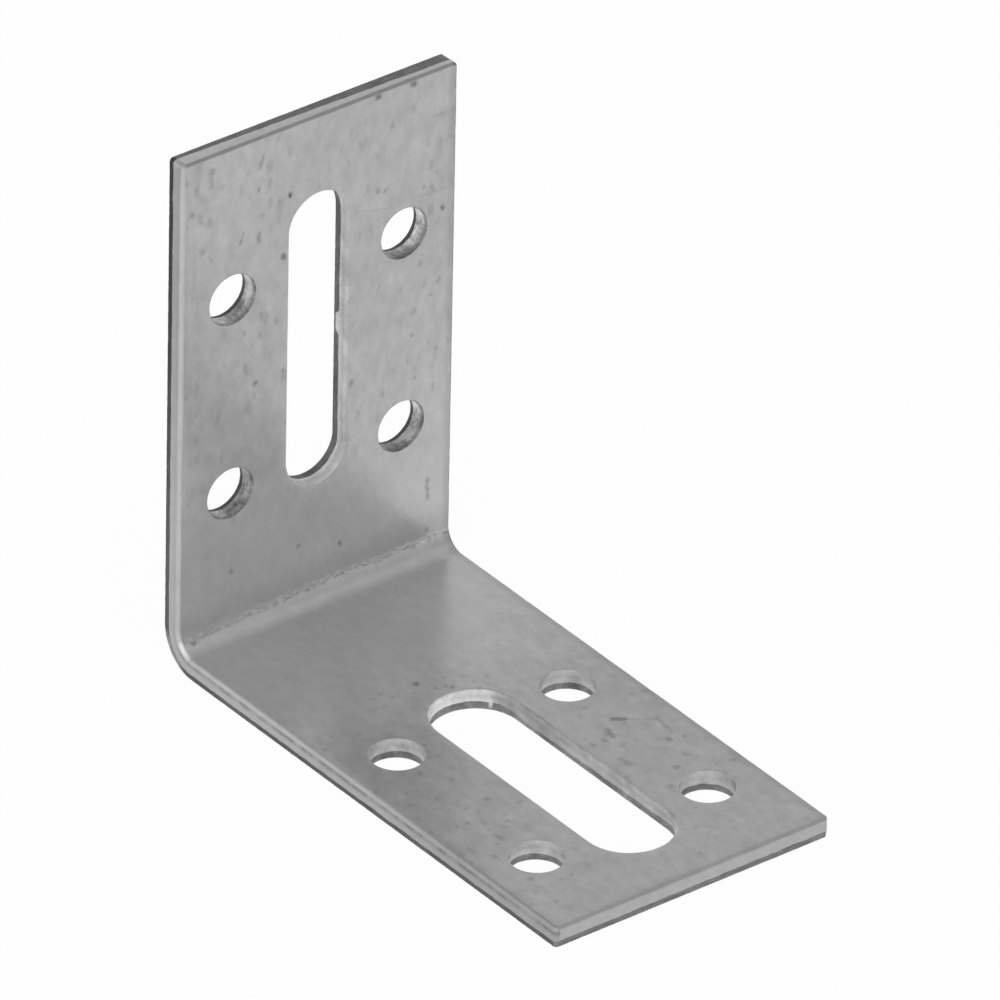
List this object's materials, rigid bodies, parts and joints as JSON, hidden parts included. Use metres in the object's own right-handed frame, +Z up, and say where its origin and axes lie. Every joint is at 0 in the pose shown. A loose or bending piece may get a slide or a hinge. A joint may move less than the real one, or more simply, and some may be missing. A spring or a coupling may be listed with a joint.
{
  "type": "adjustable angle bracket",
  "caption": "L-shaped galvanised sheet-steel bracket, bent to a right angle, with a long slot and round screw holes in each leg, so that its place can be adjusted before it is tightened.",
  "frame": {"origin": "on the underside of the foot, under the middle of the bracket's box", "axes": "+X along the foot, from the upright leg to the foot's tip; +Y across the strip; +Z up the leg"},
  "size_m": [0.0564, 0.03, 0.052],
  "materials": {
    "galvanised_steel": "galvanised, satin, with grey broken edges"
  },
  "bodies": {
    "root": {"angle_bracket": "galvanised_steel"}
  },
  "joints": []
}
